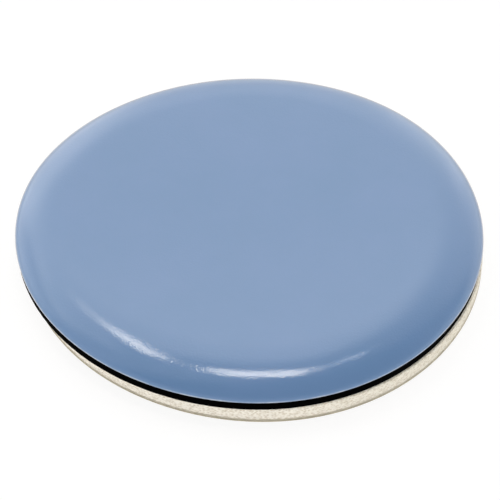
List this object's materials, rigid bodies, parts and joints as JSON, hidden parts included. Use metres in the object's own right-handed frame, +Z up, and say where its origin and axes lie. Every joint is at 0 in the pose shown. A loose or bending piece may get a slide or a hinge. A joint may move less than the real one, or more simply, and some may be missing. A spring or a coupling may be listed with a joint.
{
  "type": "furniture slider",
  "caption": "Stick-on round furniture slider: a domed low-friction glide cap cemented over a rubber core, on a foam mounting tape with its release paper.",
  "frame": {"origin": "on the glide cap's axis, at the underside of the release paper that the slider lies on", "axes": "+Z up through the glide face, as pictured (in use the slider is turned over and +Z points at the floor); +X to the right in the picture, the way the tape lies off the cap's axis; -Y towards the viewer"},
  "size_m": [0.05, 0.05, 0.0052],
  "materials": {
    "glide_sheet": "satin",
    "cap_cement": "satin",
    "core_rubber": "matte",
    "tape_adhesive": "tacky gloss",
    "tape_foam": "matte",
    "release_paper": "silicone-coated"
  },
  "bodies": {
    "liner": {"release_liner": "release_paper"},
    "tape": {"tape_base_adhesive": "tape_adhesive", "foam_tape": "tape_foam"},
    "glide": {"tape_top_adhesive": "tape_adhesive", "rubber_core": "core_rubber", "cap_bond_film": "cap_cement", "glide_cap": "glide_sheet"}
  },
  "joints": [
    {"name": "liner_peel", "type": "slide", "parent": "liner", "child": "tape", "axis": [0, 0, 1], "range_m": [0, 0.02]},
    {"name": "cushion_squash", "type": "slide", "parent": "tape", "child": "glide", "axis": [0, 0, 1], "range_m": [-0.0004, 0], "stiffness_N_per_m": 267000, "deforming": ["foam_tape"]}
  ]
}
